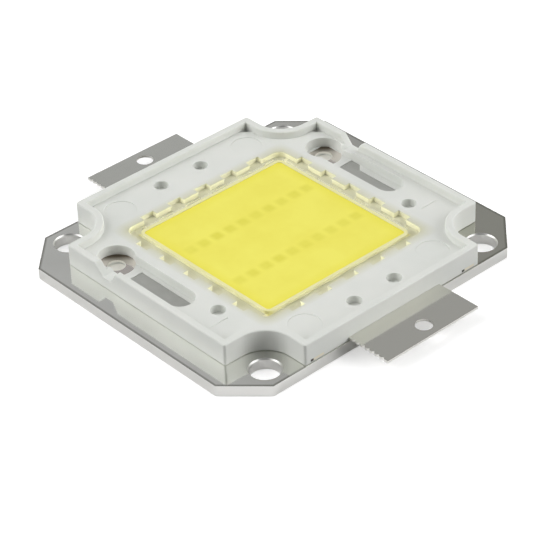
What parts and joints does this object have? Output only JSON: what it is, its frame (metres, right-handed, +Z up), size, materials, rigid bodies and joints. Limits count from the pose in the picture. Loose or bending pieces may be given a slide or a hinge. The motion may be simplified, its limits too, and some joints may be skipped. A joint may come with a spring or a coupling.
{
  "type": "high-power led module",
  "caption": "Flat square light-emitting module: metal base plate with screw holes, white moulded housing with two side leads, and a yellow light window in a castellated clear border.",
  "frame": {"origin": "middle of the base plate's underside", "axes": "+Z up, out of the light window; X along the two leads; Y along the rows of dies"},
  "size_m": [0.052, 0.046, 0.0042],
  "materials": {
    "nickel_plate": "bright nickel plating on copper",
    "silver_lead": "bright silver plating on copper strip",
    "white_housing": "satin white moulding compound",
    "clear_silicone": "clear glossy silicone, tinted by the phosphor beside it",
    "phosphor": "smooth yellow phosphor in silicone",
    "die": "polished semiconductor die",
    "die_attach": "silver-filled adhesive",
    "bond_wire": "gold wire"
  },
  "bodies": {
    "root": {"base_plate": "nickel_plate", "housing": "white_housing", "lead_negative": "silver_lead", "lead_positive": "silver_lead", "border_seal": "clear_silicone", "phosphor_fill": "phosphor", "die_attach": "die_attach", "bond_wires_row_1": "bond_wire", "bond_wires_row_2": "bond_wire", "led_die_01": "die", "led_die_02": "die", "led_die_03": "die", "led_die_04": "die", "led_die_05": "die", "led_die_06": "die", "led_die_07": "die", "led_die_08": "die", "led_die_09": "die", "led_die_10": "die", "led_die_11": "die", "led_die_12": "die", "led_die_13": "die", "led_die_14": "die", "led_die_15": "die", "led_die_16": "die", "led_die_17": "die", "led_die_18": "die", "led_die_19": "die", "led_die_20": "die"}
  },
  "joints": []
}
